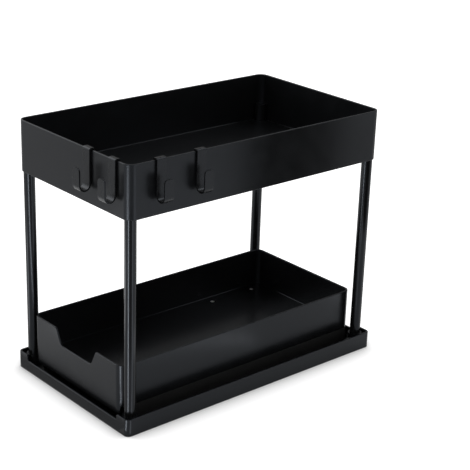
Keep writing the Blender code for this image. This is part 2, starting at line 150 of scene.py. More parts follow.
# %% [markdown]
# A finish is a material with one Principled shader. Its noises read Object coordinates, so a
# grain keeps its size in metres and travels with its piece. Two close tones, a gloss that
# wanders and a low bump are what nearly every real surface needs, so each of them gets a
# method. A Mix node carries sockets of several kinds under the same names, which is why its
# colour sockets are picked by number.

# %% Finish helper
MIX_FACTOR, MIX_DARK, MIX_LIGHT, MIX_COLOR = 0, 6, 7, 2
finishes = {}


class Finish(Nodes):
    """A material, kept under its name in the table of finishes."""

    def __init__(self, name):
        self.material = bpy.data.materials.new(name)
        finishes[name] = self.material
        self.material.use_nodes = True
        super().__init__(self.material.node_tree)
        self.shader = self.tree.nodes["Principled BSDF"]
        self.place = self.node("ShaderNodeTexCoord").outputs["Object"]

    def stretched(self, scale):
        """The object's coordinates, stretched along one way for a drawn or brushed grain."""
        return self.node("ShaderNodeMapping", Vector=self.place, Scale=scale).outputs["Vector"]

    def noise(self, scale, detail=3.0, vector=None):
        """Cloudy values whose cells are one over the scale wide, in metres."""
        texture = self.node(
            "ShaderNodeTexNoise", Vector=vector or self.place, Scale=scale, Detail=detail,
        )
        return texture.outputs["Fac"]

    def tones(self, source, dark, light):
        """A colour that wanders between two close tones."""
        mix = self.node("ShaderNodeMix", data_type="RGBA")
        self.feed(mix.inputs[MIX_FACTOR], source)
        self.feed(mix.inputs[MIX_DARK], (*dark, 1))
        self.feed(mix.inputs[MIX_LIGHT], (*light, 1))
        return mix.outputs[MIX_COLOR]

    def bump(self, height, distance, strength, under=None):
        """A low relief, on top of another one if that is given."""
        made = self.node("ShaderNodeBump", Height=height, Distance=distance, Strength=strength)
        if under:
            self.feed(made.inputs["Normal"], under)
        return made.outputs["Normal"]

    def wire(self, **sockets):
        """Feed the shader's sockets and give the material back."""
        for name, value in sockets.items():
            self.feed(self.shader.inputs[name.replace("_", " ")], value)
        return self.material


print("finishes so far:", len(finishes))

# %% [markdown]
# ### Moulded black plastic
# Tray, drawer and basket are injection moulded. Such a mould is etched with a very fine
# texture, so the surface is black with a satin bloom: it mirrors nothing sharply, but the
# rounded corners still draw a soft bright line. A fine noise makes the etched grain, a
# broader one the slow waviness of a large moulded wall, and a third lets the gloss wander
# a little, as it does where hands have rubbed it.
#
# The basket comes from another mould with a coarser etching, so the same recipe is made
# twice, with a smooth and a dull limit for the gloss. Black plastic shows hardly any colour
# of its own. What the eye takes for its tint is the colour of its reflections, so the cool
# tone goes into the specular tint and not into the base colour.

# %% Moulded black plastic
COOL = (0.80, 0.88, 1.0, 1)


def moulded_black(name, smooth, dull):
    finish = Finish(name)
    cloud = finish.noise(scale=9.0, detail=2.0)
    color = finish.tones(cloud, (0.0026, 0.0027, 0.0030), (0.0040, 0.0042, 0.0046))
    rough = finish.spread(finish.noise(scale=45.0, detail=4.0), smooth, dull)
    waves = finish.bump(finish.noise(scale=14.0, detail=1.0), distance=0.0002, strength=0.25)
    etching = finish.noise(scale=2400.0, detail=2.0)
    grain = finish.bump(etching, distance=0.00004, strength=0.3, under=waves)
    return finish.wire(
        Base_Color=color, Roughness=rough, Normal=grain, IOR=1.5, Specular_IOR_Level=0.25,
        Specular_Tint=COOL,
    )


print("made", moulded_black("satin_black_plastic", smooth=0.21, dull=0.27).name)
print("made", moulded_black("coarse_black_plastic", smooth=0.28, dull=0.35).name)

# %% [markdown]
# ### Coated steel tube
# The posts are thin steel tubes with a baked black coating. The coating is smoother than the
# moulded plastic, so the posts show clear bright and dark lines along their length. Its
# surface has the slight orange peel of sprayed powder, which a low bump of middle-sized
# noise gives.

# %% Coated steel tube
def coated_black():
    finish = Finish("black_coated_steel")
    cloud = finish.noise(scale=14.0, detail=2.0)
    color = finish.tones(cloud, (0.0034, 0.0034, 0.0034), (0.0050, 0.0050, 0.0050))
    rough = finish.spread(finish.noise(scale=90.0), 0.17, 0.22)
    peel = finish.bump(finish.noise(scale=420.0, detail=2.0), distance=0.00004, strength=0.2)
    return finish.wire(
        Base_Color=color, Roughness=rough, Normal=peel, IOR=1.5, Specular_IOR_Level=0.25,
        Specular_Tint=COOL,
    )


print("made", coated_black().name)

# %% [markdown]
# ### Hook plastic
# The loose hooks come from a polished mould. They are a shade glossier than the basket
# that they hang on, with the faint flow marks of a part that is filled from one end, here a
# noise stretched along the hook's height.

# %% Hook plastic
def hook_black():
    finish = Finish("black_hook_plastic")
    flow = finish.noise(scale=60.0, vector=finish.stretched((6.0, 6.0, 1.0)))
    color = finish.tones(flow, (0.0038, 0.0038, 0.0040), (0.0054, 0.0054, 0.0057))
    rough = finish.spread(flow, 0.25, 0.33)
    fine = finish.bump(finish.noise(scale=1800.0, detail=2.0), distance=0.00003, strength=0.2)
    return finish.wire(
        Base_Color=color, Roughness=rough, Normal=fine, IOR=1.5, Specular_IOR_Level=0.25,
        Specular_Tint=COOL,
    )


print("made", hook_black().name)

# %% [markdown]
# ### Rail plastic
# The rails are extruded, so their grain runs one way: the noise is squeezed across the rail
# and stretched along it, which leaves long faint die lines in the gloss and in the bump.

# %% Rail plastic
def rail_black():
    finish = Finish("rail_plastic")
    lines = finish.noise(scale=900.0, vector=finish.stretched((1.0, 0.02, 1.0)))
    cloud = finish.noise(scale=30.0, detail=2.0)
    color = finish.tones(cloud, (0.005, 0.005, 0.005), (0.009, 0.009, 0.009))
    rough = finish.spread(lines, 0.42, 0.56)
    die = finish.bump(lines, distance=0.00004, strength=0.4)
    return finish.wire(Base_Color=color, Roughness=rough, Normal=die, Specular_IOR_Level=0.3)


print("made", rail_black().name)

# %% [markdown]
# ### White acetal
# The glides that run in the rails are the slippery white plastic that sliders are made of.
# It is a little translucent, so a touch of subsurface keeps its edges from looking like
# painted wood. The faces that rub are slightly polished in patches.

# %% White acetal
def acetal_white():
    finish = Finish("white_acetal")
    color = finish.tones(finish.noise(scale=25.0), (0.70, 0.70, 0.67), (0.76, 0.76, 0.73))
    rough = finish.spread(finish.noise(scale=120.0), 0.28, 0.42)
    fine = finish.bump(finish.noise(scale=700.0, detail=2.0), distance=0.00003, strength=0.3)
    finish.wire(Subsurface_Weight=0.15, Subsurface_Radius=(0.002, 0.002, 0.0018))
    return finish.wire(Base_Color=color, Roughness=rough, Normal=fine)


print("made", acetal_white().name)

# %% [markdown]
# ### Zinc on steel
# The screws are zinc plated. Bright zinc is a metal with a slightly milky gloss, so the
# shader is fully metallic, its tone speckles finely, and its roughness wanders between
# bright and dull.

# %% Zinc on steel
def zinc_bright():
    finish = Finish("zinc_plated_steel")
    speckle = finish.noise(scale=900.0)
    color = finish.tones(finish.noise(scale=300.0), (0.50, 0.50, 0.49), (0.62, 0.62, 0.60))
    rough = finish.spread(speckle, 0.26, 0.42)
    pits = finish.bump(speckle, distance=0.00003, strength=0.3)
    return finish.wire(Base_Color=color, Roughness=rough, Normal=pits, Metallic=1.0)


print("made", zinc_bright().name)

# %% [markdown]
# ## Helpers for pieces
# The record says which slot of finish each node has, and a finish stands in the table under
# the name of its slot. Only the basket takes another one, the coarser etching.
#
# A finished piece goes through the same steps: its bmesh becomes a mesh, its faces are
# shaded smooth with only the real edges kept sharp, it is placed on the body of the node
# that it stands for, and it takes that node's finish. A large flat wall that ends in small
# round edges would shade like a pillow, because smooth shading averages the wall with its
# edges. A Weighted Normal modifier gives the big faces the say, and the walls look flat.

# %% Finish a piece
SHARP = math.radians(40)
slots = {part["node"]: part["material_slot"] for part in frame["record"]["subparts"]}
finish_of = {**slots, "upper_basket": "coarse_black_plastic"}


def hand_in(bm, node):
    """Turn a bmesh into the finished piece that stands for a node."""
    name = node + "_dressed"
    mesh = bpy.data.meshes.new(name)
    bm.to_mesh(mesh)
    bm.free()
    mesh.shade_smooth()
    mesh.set_sharp_from_angle(angle=SHARP)
    mesh.materials.append(finishes[finish_of[node]])
    piece = bpy.data.objects.new(name, mesh)
    scene.collection.objects.link(piece)
    flat = piece.modifiers.new("flat_walls", "WEIGHTED_NORMAL")
    flat.keep_sharp = True
    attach(piece, frame["nodes"][node]["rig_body"])
    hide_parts(node)
    low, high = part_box(node)
    size = [round((end - start) * MM, 1) for start, end in zip(low, high)]
    print(name, len(mesh.polygons), "faces,", size, "mm")


print("finishes in use:", sorted(set(finish_of.values())))

# %% [markdown]
# Most shapes here start as a block with rounded upright edges. A cube is scaled and moved
# into place while it is made, and its four upright edges are bevelled in twelve steps,
# which is round enough for a close view.

# %% Rounded block
ROUND_STEPS = 12
TINY = 0.00001
Y, Z = 1, 2


def along(edge, axis):
    """Whether an edge runs along one axis alone."""
    first, second = (vert.co for vert in edge.verts)
    return all(abs(first[way] - second[way]) < TINY for way in range(3) if way != axis)


def block(low, high, radius=0.0):
    """A bmesh block between two corners, its upright edges rounded."""
    low, high = Vector(low), Vector(high)
    bm = bmesh.new()
    size = Matrix.Diagonal(high - low).to_4x4()
    bmesh.ops.create_cube(bm, size=1, matrix=Matrix.Translation((low + high) / 2) @ size)
    if radius:
        bmesh.ops.bevel(
            bm, geom=[edge for edge in bm.edges if along(edge, Z)], offset=radius,
            offset_type="OFFSET", segments=ROUND_STEPS, profile=0.5, affect="EDGES", material=-1,
        )
    return bm


# %% [markdown]
# An open box is that block with its top face inset by the wall's thickness and then pushed
# down to the floor. The inset keeps its distance all round, so the wall has the same
# thickness in the corners, as a moulding must.

# %% Open box
def open_box(low, high, radius, wall, floor_top):
    """A box open at the top, its wall even all round."""
    bm = block(low, high, radius)
    top = max(bm.faces, key=lambda face: face.calc_center_median().z)
    bmesh.ops.inset_region(bm, faces=[top], thickness=wall, use_even_offset=True)
    pushed = bmesh.ops.extrude_face_region(bm, geom=[top])["geom"]
    down = [item for item in pushed if isinstance(item, bmesh.types.BMVert)]
    bmesh.ops.translate(bm, verts=down, vec=(0, 0, floor_top - high[2]))
    if top.is_valid:
        bmesh.ops.delete(bm, geom=[top], context="FACES_ONLY")
    return bm


# %% [markdown]
# No moulded or cut edge is perfectly sharp, and it is the narrow round along an edge that
# catches the light. A Bevel modifier could add it to the finished piece, but a bevel on the
# bmesh can be told edge by edge where to go, before Booleans make the mesh hard to read. The
# edges are picked by the angle that they turn through, and by a further test if one is given.

# %% Rounded edges
def rounded_edges(bm, radius, above=60, segments=3, where=None):
    """Round every edge that turns more than an angle in degrees."""
    limit = math.radians(above)
    edges = [
        edge for edge in bm.edges
        if len(edge.link_faces) == 2 and edge.calc_face_angle() > limit
    ]
    if where:
        edges = [edge for edge in edges if where(edge)]
    bmesh.ops.bevel(
        bm, geom=edges, offset=radius, offset_type="OFFSET", segments=segments,
        profile=0.5, affect="EDGES", material=-1,
    )
    return len(edges)


def open_edges(bm):
    """How many edges don't join exactly two faces. A closed solid has none."""
    return sum(1 for edge in bm.edges if not edge.is_manifold)


# %% [markdown]
# Notches, sockets and screw holes are added or taken away with Booleans. Each tool is a
# bmesh too. It becomes a passing object, the modifiers are worked out once, and the result
# comes back as a bmesh, so that no tool stays in the scene. A tool that cuts reaches a
# little past the surface, because two faces in one plane would leave the Boolean in doubt.

# %% Booleans
CUT_PAST = 0.004
MERGE = 0.000002
ROD_STEPS = 48


def passing(bm, name):
    """An object that lives only while a Boolean is worked out."""
    mesh = bpy.data.meshes.new(name)
    bm.to_mesh(mesh)
    bm.free()
    piece = bpy.data.objects.new(name, mesh)
    scene.collection.objects.link(piece)
    return piece


def worked(bm, steps):
    """The bmesh after Booleans, given as (operation, tool bmesh)."""
    base = passing(bm, "worked")
    tools = []
    for operation, tool in steps:
        tools.append(passing(tool, "tool"))
        change = base.modifiers.new(operation, "BOOLEAN")
        change.operation = operation
        change.solver = "EXACT"
        change.object = tools[-1]
    bpy.context.view_layer.update()
    result = bmesh.new()
    result.from_object(base, bpy.context.evaluated_depsgraph_get())
    for piece in (base, *tools):
        mesh = piece.data
        bpy.data.objects.remove(piece)
        bpy.data.meshes.remove(mesh)
    bmesh.ops.remove_doubles(result, verts=result.verts, dist=MERGE)
    return result


def rods(spots, radius, low, high):
    """Upright rods at several places, as one bmesh."""
    bm = bmesh.new()
    for x, y in spots:
        bmesh.ops.create_cone(
            bm, cap_ends=True, segments=ROD_STEPS, radius1=radius, radius2=radius,
            depth=high - low, matrix=Matrix.Translation((x, y, (low + high) / 2)),
        )
    return bm


# %% [markdown]
# ## Posts
# The four posts are straight lengths of round tube. A tube could be a cylinder with a hole
# cut in it, but spinning its wall's section round the post's axis makes both surfaces at
# once. The section is a small grid face, moved out to the tube's radius, and the full turn
# is merged where it closes. The cut ends are broken by a fine bevel, as a deburred tube is.

# %% Posts
TUBE_WALL = 0.0012
TUBE_EDGE = 0.00015
TUBE_STEPS = 64
post_low, post_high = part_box("post_front_right")
TUBE_RADIUS = (post_high[0] - post_low[0]) / 2
POST_X = (post_high[0] + post_low[0]) / 2
POST_Y = -(post_high[1] + post_low[1]) / 2
corners = {
    "front_left": (-POST_X, -POST_Y),
    "front_right": (POST_X, -POST_Y),
    "back_left": (-POST_X, POST_Y),
    "back_right": (POST_X, POST_Y),
}


def tube(x, y, radius, wall, low, high):
    """An upright tube, spun from its wall's section."""
    bm = bmesh.new()
    bmesh.ops.create_grid(bm, x_segments=1, y_segments=1, size=0.5)
    bmesh.ops.scale(bm, vec=(wall, high - low, 1), verts=bm.verts)
    bmesh.ops.rotate(bm, matrix=Matrix.Rotation(math.pi / 2, 3, "X"), verts=bm.verts)
    bmesh.ops.translate(bm, vec=(radius - wall / 2, 0, (low + high) / 2), verts=bm.verts)
    section = bm.edges[:]
    bmesh.ops.delete(bm, geom=bm.faces[:], context="FACES_ONLY")
    bmesh.ops.spin(
        bm, geom=bm.verts[:] + section, cent=(0, 0, 0), axis=(0, 0, 1), dvec=(0, 0, 0),
        angle=2 * math.pi, steps=TUBE_STEPS, use_merge=True,
    )
    bmesh.ops.remove_doubles(bm, verts=bm.verts, dist=TINY)
    bmesh.ops.recalc_face_normals(bm, faces=bm.faces)
    rounded_edges(bm, TUBE_EDGE, segments=2)
    bmesh.ops.translate(bm, vec=(x, y, 0), verts=bm.verts)
    return bm


for name, (x, y) in corners.items():
    bm = tube(x, y, TUBE_RADIUS, TUBE_WALL, post_low[2], post_high[2])
    print("open edges:", open_edges(bm))
    hand_in(bm, "post_" + name)

# %% [markdown]
# ## Upper basket
# The basket is one moulding: a straight-walled box with rounded corners and a thin rim that
# catches the light. Inside each corner stands a hollow boss that takes the top of a post.
# The box is made first and its edges are rounded while the mesh is still simple. Then the
# bosses are joined on and bored from below, with a small gap round the tube.

# %% Upper basket
GAP = 0.0003
MOULD_EDGE = 0.0008
BASKET_WALL = 0.0025
BASKET_RADIUS = 0.011
BASKET_SOCKET = 0.022
BOSS_WALL = 0.001
bore = TUBE_RADIUS + GAP
low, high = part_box("upper_basket")
bm = open_box(low, high, BASKET_RADIUS, BASKET_WALL, low[2] + BASKET_WALL)
print("rounded", rounded_edges(bm, MOULD_EDGE), "edges, open:", open_edges(bm))
boss_foot, boss_top = low[2] + BASKET_WALL / 2, low[2] + BASKET_SOCKET + BASKET_WALL
bosses = rods(corners.values(), bore + BOSS_WALL, boss_foot, boss_top)
bores = rods(corners.values(), bore, low[2] - CUT_PAST, low[2] + BASKET_SOCKET)
bm = worked(bm, [("UNION", bosses), ("DIFFERENCE", bores)])
hand_in(bm, "upper_basket")

# %% [markdown]
# ## Base tray
# The tray is a low open box whose front and back walls dip to a lip, so that the drawer can
# pass over them. The dip is one long block that cuts through both walls. Its four corners on
# each wall are then filleted with a wider bevel: only the edges that run along Y there are
# picked. A second, finer bevel goes round everything else, as the mould's own radius does.

# %% Tray with its openings
TRAY_WALL = 0.003
TRAY_RADIUS = 0.0065
LIP_HEIGHT = 0.0145
SIDE_PLAY = 0.0028
OPENING_FILLET = 0.0025
FILLET_STEPS = 6
drawer_low, drawer_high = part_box("sliding_drawer")
OPENING_X = drawer_high[0] + SIDE_PLAY
low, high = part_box("base_tray")
bm = open_box(low, high, TRAY_RADIUS, TRAY_WALL, TRAY_WALL)
dip = block(
    (-OPENING_X, low[1] - CUT_PAST, LIP_HEIGHT),
    (OPENING_X, high[1] + CUT_PAST, high[2] + CUT_PAST),
)
bm = worked(bm, [("DIFFERENCE", dip)])


def across_wall(edge):
    """Edges of an opening that run through the front or back wall."""
    return along(edge, Y) and abs(abs(edge.verts[0].co.x) - OPENING_X) < TINY


fillets = rounded_edges(bm, OPENING_FILLET, segments=FILLET_STEPS, where=across_wall)
print("filleted", fillets, "edges")
print("rounded", rounded_edges(bm, MOULD_EDGE, above=40), "edges, open:", open_edges(bm))

# %% [markdown]
# Each post stands in a socket in the tray's corner. Two short webs tie the socket to the
# walls, so that a push on the basket isn't carried by the floor alone. They are joined on
# before the sockets are bored, so one clean bore goes through all of them.

# %% Sockets and webs
SOCKET_WALL = 0.0018
SOCKET_DEPTH = 0.0165
WEB = 0.002
socket_top = TRAY_WALL + SOCKET_DEPTH
web_low, web_high = TRAY_WALL / 2, socket_top - WEB
steps = [("UNION", rods(corners.values(), bore + SOCKET_WALL, TRAY_WALL / 2, socket_top))]
for x, y in corners.values():
    side, end = math.copysign(1, x), math.copysign(1, y)
    xs = sorted((x + side * (bore + SOCKET_WALL / 2), side * (high[0] - TRAY_WALL / 2)))
    ys = sorted((y + end * (bore + SOCKET_WALL / 2), end * (high[1] - TRAY_WALL / 2)))
    to_side = block((xs[0], y - WEB / 2, web_low), (xs[1], y + WEB / 2, web_high))
    to_end = block((x - WEB / 2, ys[0], web_low), (x + WEB / 2, ys[1], web_high))
    steps += [("UNION", to_side), ("UNION", to_end)]
steps.append(("DIFFERENCE", rods(corners.values(), bore, TRAY_WALL, socket_top + CUT_PAST)))
print("socket bore", round(2 * bore * MM, 1), "mm, steps so far:", len(steps))

# %% [markdown]
# Six countersunk screws come from beneath and hold the rails. A hole for such a screw is a
# cone above a thin shaft. Half of its outline is drawn as a few points and spun round the
# screw's axis, which makes head, cone and shaft in one piece. The same tool is used head up
# in the drawer, so it can be turned over.

# %% Screw holes
HEAD_RADIUS = 0.0029
HEAD_DEPTH = 0.0016
SHANK_RADIUS = 0.0015
POINT = 0.0012
HOLE_STEPS = 24
RAIL_HOLE = 0.0055


def countersunk_hole(node, length, head_down):
    """A tool that makes room for a countersunk screw, spun from half its section."""
    screw_low, screw_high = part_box(node)
    x, y = (screw_low[0] + screw_high[0]) / 2, (screw_low[1] + screw_high[1]) / 2
    face = screw_low[2] if head_down else screw_high[2]
    head, shank = HEAD_RADIUS + GAP, SHANK_RADIUS + GAP
    line = [
        (0, CUT_PAST), (head, CUT_PAST), (head, 0), (shank, -HEAD_DEPTH),
        (shank, POINT - length), (0, -length),
    ]
    bm = bmesh.new()
    spots = [bm.verts.new((out, 0, up)) for out, up in line]
    edges = [bm.edges.new(pair) for pair in zip(spots, spots[1:])]
    bmesh.ops.spin(
        bm, geom=spots + edges, cent=(0, 0, 0), axis=(0, 0, 1), dvec=(0, 0, 0),
        angle=2 * math.pi, steps=HOLE_STEPS, use_merge=True,
    )
    bmesh.ops.remove_doubles(bm, verts=bm.verts, dist=TINY)
    turn = Matrix.Rotation(math.pi if head_down else 0, 3, "X")
    bmesh.ops.rotate(bm, matrix=turn, verts=bm.verts)
    bmesh.ops.translate(bm, vec=(x, y, face), verts=bm.verts)
    bmesh.ops.recalc_face_normals(bm, faces=bm.faces)
    return bm


rail_screws = sorted(node for node in frame["nodes"] if node.startswith("rail_screw"))
steps += [("DIFFERENCE", countersunk_hole(node, RAIL_HOLE, True)) for node in rail_screws]
bm = worked(bm, steps)
print("holes:", len(rail_screws), "open edges:", open_edges(bm))
hand_in(bm, "base_tray")

# %% [markdown]
# ## Drawer
# The drawer is the deepest moulding: a box as wide as the posts allow. Under its floor the
# block is cut back to leave room for the rails, but the front wall stays and hangs down as
# an apron that hides them. That is why the box starts at the apron's foot and not at the
# floor.

# %% Drawer box and apron
DRAWER_WALL = 0.0025
DRAWER_RADIUS = 0.010
rail_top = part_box("slide_rail_left")[1][2]
low, high = drawer_low, drawer_high
floor_bottom = rail_top + GAP
floor_top = floor_bottom + DRAWER_WALL
bm = open_box(low, high, DRAWER_RADIUS, DRAWER_WALL, floor_top)
under = block(
    (low[0] - CUT_PAST, low[1] + DRAWER_WALL, low[2] - CUT_PAST),
    (high[0] + CUT_PAST, high[1] + CUT_PAST, floor_bottom),
)
bm = worked(bm, [("DIFFERENCE", under)])
print("floor top at", round(floor_top * MM, 1), "mm, open edges:", open_edges(bm))

# %% [markdown]
# The finger cut-out is the drawer's handle, so its shape is the one that a buyer knows it
# by: a wide tapered notch with generous round corners at its foot, and a small radius where
# it meets the rim. The tool is a plain block whose lower edges are drawn in and rounded. A
# corner that isn't square needs a bevel of another width for the same radius, which the
# half angle gives. The two upper corners belong to the drawer itself, so they are bevelled
# after the cut.

# %% Finger cut-out
CUTOUT_TOP = 0.04075
CUTOUT_FOOT = 0.03075
CUTOUT_DEPTH = 0.020
FOOT_RADIUS = 0.008
FOOT_STEPS = 10
RIM_RADIUS = 0.003
CORNER_NEAR = 0.0001
lean = (CUTOUT_TOP - CUTOUT_FOOT) / CUTOUT_DEPTH
wide = CUTOUT_TOP + lean * CUT_PAST
notch = block(
    (-wide, low[1] - CUT_PAST, high[2] - CUTOUT_DEPTH),
    (wide, low[1] + CUT_PAST, high[2] + CUT_PAST),
)
foot = [vert for vert in notch.verts if vert.co.z < high[2] - CUT_PAST]
bmesh.ops.scale(notch, vec=(CUTOUT_FOOT / wide, 1, 1), verts=foot)
half_angle = (math.pi / 2 + math.atan(lean)) / 2
foot_edges = [
    edge for edge in notch.edges
    if along(edge, Y) and all(vert in foot for vert in edge.verts)
]
bmesh.ops.bevel(
    notch, geom=foot_edges, offset=FOOT_RADIUS / math.tan(half_angle), offset_type="OFFSET",
    segments=FOOT_STEPS, profile=0.5, affect="EDGES", material=-1,
)
bm = worked(bm, [("DIFFERENCE", notch)])


def at_notch_top(edge):
    """Edges where the cut-out meets the rim of the front wall."""
    return all(
        abs(abs(vert.co.x) - CUTOUT_TOP) < CORNER_NEAR
        and abs(vert.co.z - high[2]) < TINY and vert.co.y < 0
        for vert in edge.verts
    )


rim_reach = RIM_RADIUS / math.tan(half_angle)
rims = rounded_edges(bm, rim_reach, above=40, segments=FILLET_STEPS, where=at_notch_top)
print("cut-out corners:", rims)
print("rounded", rounded_edges(bm, MOULD_EDGE, above=40), "edges, open:", open_edges(bm))

# %% [markdown]
# Four countersunk screws come through the drawer's floor into the glides. Their holes are
# cut last, because the fine bevel would otherwise run round them too.

# %% Drawer screw holes
GLIDE_HOLE = 0.0088
glide_screws = sorted(node for node in frame["nodes"] if node.startswith("glide_screw"))
holes = [("DIFFERENCE", countersunk_hole(node, GLIDE_HOLE, False)) for node in glide_screws]
bm = worked(bm, holes)
print("holes:", len(glide_screws), "open edges:", open_edges(bm))
hand_in(bm, "sliding_drawer")

# %% [markdown]
# ## Hooks
# Each hook is a flat strip bent like a J: a short clip inside the basket, a bridge over the
# rim, a long strap, a half-round seat and a prong with a round tip. It could be a thickened
# ribbon, but following the strip as it is bent is simpler: one rectangular end face is
# pushed along for each straight stretch and spun round an axis for each bend. The axes lie
# across the strip, and the bend's radius is measured to the middle of its thickness.

# %% Bending a strip
def push(bm, face, vector):
    """Extrude the strip's end face straight on."""
    grown = bmesh.ops.extrude_face_region(bm, geom=[face])["geom"]
    moved = [item for item in grown if isinstance(item, bmesh.types.BMVert)]
    bmesh.ops.translate(bm, verts=moved, vec=vector)
    if face.is_valid:
        bmesh.ops.delete(bm, geom=[face], context="FACES_ONLY")
    return next(item for item in grown if isinstance(item, bmesh.types.BMFace))


def bend(bm, face, centre, angle, steps):
    """Spin the strip's end face round an axis that runs along X."""
    turned = bmesh.ops.spin(
        bm, geom=[face], cent=centre, axis=(1, 0, 0), dvec=(0, 0, 0), angle=angle, steps=steps,
    )["geom_last"]
    if face.is_valid:
        bmesh.ops.delete(bm, geom=[face], context="FACES_ONLY")
    return next(item for item in turned if isinstance(item, bmesh.types.BMFace))


# %% [markdown]
# The strip's width, its thickness and the places of its clip, strap, prong and foot follow
# from the boxes of a hook and of the basket, so the hook keeps fitting the rim. The face
# that the strip starts from is used up by the first push, so the end of the clip is filled
# again at the last.

# %% A hook
HOOK_BEND = 0.0014
HOOK_SLACK = 0.0005
CLIP = 0.012
PRONG = 0.0278
BEND_STEPS, LOOP_STEPS = 8, 24
hook_low, hook_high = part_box("front_hook_1")
basket_low, basket_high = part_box("upper_basket")
HOOK_WIDTH = hook_high[0] - hook_low[0]
HOOK_THICK = hook_high[2] - basket_high[2] - GAP


def strip_hook():
    """A hook at the rim's outer edge: X along the rim, -Y outwards, Z up from the rim."""
    quarter, half = math.pi / 2, math.pi
    bridge = GAP + HOOK_THICK / 2
    clip_y = BASKET_WALL + bridge
    strap = bridge + HOOK_SLACK
    prong = basket_low[1] - hook_low[1] - HOOK_THICK / 2
    loop = (prong - strap) / 2
    foot = hook_low[2] + HOOK_THICK / 2 - basket_high[2]
    bm = bmesh.new()
    bmesh.ops.create_grid(bm, x_segments=1, y_segments=1, size=0.5)
    bmesh.ops.scale(bm, vec=(HOOK_WIDTH, HOOK_THICK, 1), verts=bm.verts)
    bmesh.ops.translate(bm, vec=(0, clip_y, -CLIP), verts=bm.verts)
    face = bm.faces[:][0]
    face = push(bm, face, (0, 0, CLIP + bridge - HOOK_BEND))
    face = bend(bm, face, (0, clip_y - HOOK_BEND, bridge - HOOK_BEND), quarter, BEND_STEPS)
    face = push(bm, face, (0, -(clip_y + strap - 2 * HOOK_BEND), 0))
    face = bend(bm, face, (0, HOOK_BEND - strap, bridge - HOOK_BEND), quarter, BEND_STEPS)
    face = push(bm, face, (0, 0, foot + loop - bridge + HOOK_BEND))
    face = bend(bm, face, (0, -strap - loop, foot + loop), -half, LOOP_STEPS)
    push(bm, face, (0, 0, PRONG - loop - HOOK_THICK / 2))
    bmesh.ops.holes_fill(bm, edges=[edge for edge in bm.edges if edge.is_boundary], sides=4)
    bmesh.ops.recalc_face_normals(bm, faces=bm.faces)
    return bm


bm = strip_hook()
heights = [vert.co.z * MM for vert in bm.verts]
reach = max(-vert.co.y * MM for vert in bm.verts)
print("hook from", round(min(heights), 2), "to", round(max(heights), 2), "mm")
print("reach", round(reach, 2), "mm, open edges:", open_edges(bm))
bm.free()

# %% [markdown]
# The prong's tip is rounded in the strip's own plane by a wide bevel of its two short edges,
# and a fine bevel then breaks every sharp edge, so that each hook keeps a thin line of light
# along its sides. The tip's edges are told from the clip's by lying outside, above the foot.
# The two front hooks stay as they are made, and the two on the side wall are turned a
# quarter round the upright axis before they are moved to their rim.

# %% The four hooks
HOOK_TIP = 0.0042
HOOK_EDGE = 0.0003
TIP_LINE = -0.0199
TIP_STEPS = 8


def is_tip(edge):
    """The two short edges at the end of the prong."""
    outside = all(vert.co.y < -2 * HOOK_THICK for vert in edge.verts)
    return along(edge, Y) and outside and edge.verts[0].co.z > TIP_LINE


for node in ("front_hook_1", "front_hook_2", "side_hook_1", "side_hook_2"):
    bm = strip_hook()
    tips = rounded_edges(bm, HOOK_TIP, segments=TIP_STEPS, where=is_tip)
    rounded_edges(bm, HOOK_EDGE, segments=2)
    low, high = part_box(node)
    if node.startswith("front"):
        spot = ((low[0] + high[0]) / 2, basket_low[1], basket_high[2])
    else:
        bmesh.ops.rotate(bm, matrix=Matrix.Rotation(math.pi / 2, 3, "Z"), verts=bm.verts)
        spot = (basket_high[0], (low[1] + high[1]) / 2, basket_high[2])
    bmesh.ops.translate(bm, vec=spot, verts=bm.verts)
    print("tip edges", tips, "open edges:", open_edges(bm))
    hand_in(bm, node)

# %% [markdown]
# ## Rails, glides and screws
# The rails, the white glides and the screws are already as fine in the frame as they need
# to be, because they are small and mostly hidden. A node of the frame is made of loose
# triangles, though, which would shade as flat facets. So each is copied, its loose corners
# are merged, and the copy is shaded smooth and dressed like the other pieces.

# %% Smooth copies
PLAIN_KINDS = ("slide_rail", "rear_glide", "glide_screw", "rail_screw")
plain = sorted(node for node in frame["nodes"] if node.startswith(PLAIN_KINDS))
for node in plain:
    bm = bmesh.new()
    bm.from_mesh(frame["nodes"][node].data)
    bmesh.ops.remove_doubles(bm, verts=bm.verts, dist=MERGE)
    hand_in(bm, node)

# %% [markdown]
# ## Camera
# The camera stands at the photograph's viewing angle. Its place, its turn and its lens were
# found by fitting the corners of the tray and the basket to the photograph. The turn is
# given as a yaw round the upright axis, a pitch down towards the object and a slight roll,
# from which the camera's own three axes are worked out.

# %% Camera
CAMERA_PLACE = Vector((1.15536, -0.96371, 0.74776))
CAMERA_YAW = math.radians(48.5681)
CAMERA_PITCH = math.radians(21.1253)
CAMERA_ROLL = math.radians(1.9541)
LENS = 100.132
SENSOR = 36
back = Vector((
    math.sin(CAMERA_YAW) * math.cos(CAMERA_PITCH),
    -math.cos(CAMERA_YAW) * math.cos(CAMERA_PITCH),
    math.sin(CAMERA_PITCH),
))
right = Vector((math.cos(CAMERA_YAW), math.sin(CAMERA_YAW), 0))
up = back.cross(right)
turned_right = math.cos(CAMERA_ROLL) * right + math.sin(CAMERA_ROLL) * up
turned_up = -math.sin(CAMERA_ROLL) * right + math.cos(CAMERA_ROLL) * up
lens = bpy.data.cameras.new("camera")
lens.lens = LENS
lens.sensor_width = SENSOR
camera = bpy.data.objects.new("camera", lens)
scene.collection.objects.link(camera)
axes = Matrix((turned_right, turned_up, back)).transposed().to_4x4()
camera.matrix_world = Matrix.Translation(CAMERA_PLACE) @ axes
scene.camera = camera
print("camera", round(CAMERA_PLACE.length, 2), "m away, lens", LENS, "mm")

